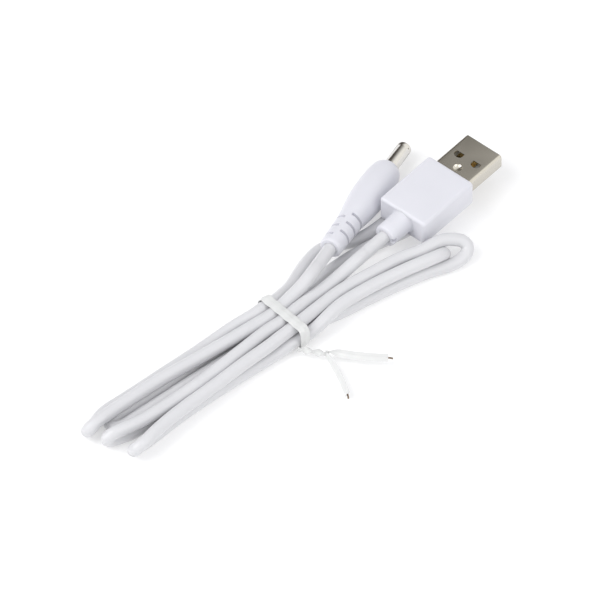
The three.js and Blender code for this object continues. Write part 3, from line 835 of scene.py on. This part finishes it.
def make_tail(number, side, length, lift, sway, width, face):
    """A free end of the tie, from the twist to its cut tip, and the wire that stands out of it."""
    pivot, ahead = tail_line(number)
    level = Vector((0, 0, 1))
    across = ahead.cross(level).normalized()
    out_start = twist_axes(1) * side
    out_end = (across * math.cos(face) + level * math.sin(face)).normalized()
    centres, outs = [], []
    steps = 30
    root = TWIST_END + out_start * TWIST_OFFSET * MM
    tip = pivot + ahead * length * MM
    for i in range(steps + 1):
        share = i / steps
        straight = root.lerp(pivot, share * 6) if share < 1 / 6 else pivot.lerp(tip, (share - 1 / 6) * 1.2)
        bow = math.sin(math.pi * share)
        centres.append(straight + (across * sway * bow + level * lift * bow) * MM)
        turn = min(1.0, share * 3)
        outs.append((out_start * (1 - turn) + out_end * turn).normalized())
    for _ in range(3):
        inner = [(a + b * 2 + c) / 4 for a, b, c in zip(centres[:-2], centres[1:-1], centres[2:])]
        centres = [centres[0], *inner, centres[-1]]
    loose = ribbon(f"tie_end_{number}", centres, outs, width, LOOSE_THICKNESS)
    tail = dress(loose, white_tie)
    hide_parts(f"tie_tail_{number}")
    body = f"tie_tail_{number}"
    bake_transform(tail)
    last = (centres[-1] - centres[-2]).normalized()
    wire_path = [centres[-1] + last * x * MM + across * bend * MM for x, bend in [
        (-1.0, 0), (0, 0), (0.5, 0.02), (0.9, 0.08), (1.3, 0.2)]]
    wire = dress(tube(f"tie_wire_{number}", wire_path, WIRE_RADIUS * MM, 14), tie_wire)
    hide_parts(f"tie_wire_end_{number}")
    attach(wire, body)
    return tail


make_tie_band()
make_twist()
make_tail(1, side=1, length=15.3, lift=0.5, sway=1.2, width=2.2, face=math.radians(70))
make_tail(2, side=-1, length=13.0, lift=0.2, sway=-0.4, width=2.2, face=math.radians(28))


# ------------------------------------------------------------------ what shows of the CAD pieces
CAD_LOOKS = {
    "usb_tongue": tongue_darkened_for_shade,
    "usb_inner_mould": inner_natural,
    "dc_inner_mould": inner_natural,
    "dc_insulator": insulator_black,
    "dc_centre_contact": contact_gold,
    **{f"usb_contact_{i}": contact_gold for i in range(1, 5)},
    **{f"{plug}_red_core_insulation": core_red for plug in ("usb", "dc")},
    **{f"{plug}_black_core_insulation": core_black for plug in ("usb", "dc")},
    **{f"{plug}_{core}_core_conductor": copper_strand for plug in ("usb", "dc") for core in ("red", "black")},
}
for name, material in CAD_LOOKS.items():
    nodes[name].data.materials.clear()
    nodes[name].data.materials.append(material)


# ------------------------------------------------------------------ floor and light
def make_floor():
    size = 3
    corners = [(-size, -size, 0), (size, -size, 0), (size, size, 0), (-size, size, 0)]
    floor = new_mesh("floor", corners, [(0, 1, 2, 3)], smooth=False)
    pale = surface("pale_floor", (0.70, 0.70, 0.70), 0.75, shade=0.99, mottle=8, grain=300, relief=0.02)
    glow = pale.node_tree.nodes["Principled BSDF"].inputs
    glow["Emission Color"].default_value = (1, 1, 1, 1)
    glow["Emission Strength"].default_value = 0.34
    floor.data.materials.append(pale)


def area_light(name, place, size, power, colour=(1, 1, 1)):
    light = bpy.data.objects.new(name, bpy.data.lights.new(name, "AREA"))
    light.data.shape = "RECTANGLE"
    light.data.size, light.data.size_y = size
    light.data.energy = power
    light.data.color = colour
    light.location = place
    light.rotation_mode = "QUATERNION"
    light.rotation_quaternion = Vector(place).to_track_quat("Z", "Y")
    bpy.context.scene.collection.objects.link(light)


def make_light():
    world = bpy.data.worlds.new("studio")
    world.use_nodes = True
    tree = world.node_tree
    soft = tree.nodes["Background"]
    soft.inputs["Color"].default_value = (0.97, 0.975, 1.0, 1)
    soft.inputs["Strength"].default_value = 0.74
    # metals see a dark card on the far side, over a bright tent
    card = node(tree, "ShaderNodeBackground", Strength=1.0)
    place = tree.nodes.new("ShaderNodeTexCoord")
    facing = tree.nodes.new("ShaderNodeVectorMath")
    facing.operation = "DOT_PRODUCT"
    facing.inputs[1].default_value = Vector((0.1, 0.97, 0.22)).normalized()
    tree.links.new(place.outputs["Generated"], facing.inputs[0])
    shades = tree.nodes.new("ShaderNodeValToRGB")
    shades.color_ramp.elements[0].position = 0.35
    shades.color_ramp.elements[0].color = (1.15, 1.14, 1.1, 1)
    shades.color_ramp.elements[1].position = 0.8
    shades.color_ramp.elements[1].color = (0.12, 0.11, 0.10, 1)
    tree.links.new(facing.outputs["Value"], shades.inputs["Fac"])
    tree.links.new(shades.outputs["Color"], card.inputs["Color"])
    rays = tree.nodes.new("ShaderNodeLightPath")
    mix = tree.nodes.new("ShaderNodeMixShader")
    tree.links.new(rays.outputs["Is Glossy Ray"], mix.inputs["Fac"])
    tree.links.new(soft.outputs["Background"], mix.inputs[1])
    tree.links.new(card.outputs["Background"], mix.inputs[2])
    tree.links.new(mix.outputs["Shader"], tree.nodes["World Output"].inputs["Surface"])
    bpy.context.scene.world = world
    area_light("key", (-0.75, 0.35, 0.95), (0.9, 0.9), 8)
    area_light("fill", (0.2, -0.9, 0.8), (0.8, 0.8), 3)
    bpy.context.scene.view_settings.view_transform = "Standard"


make_floor()
make_light()
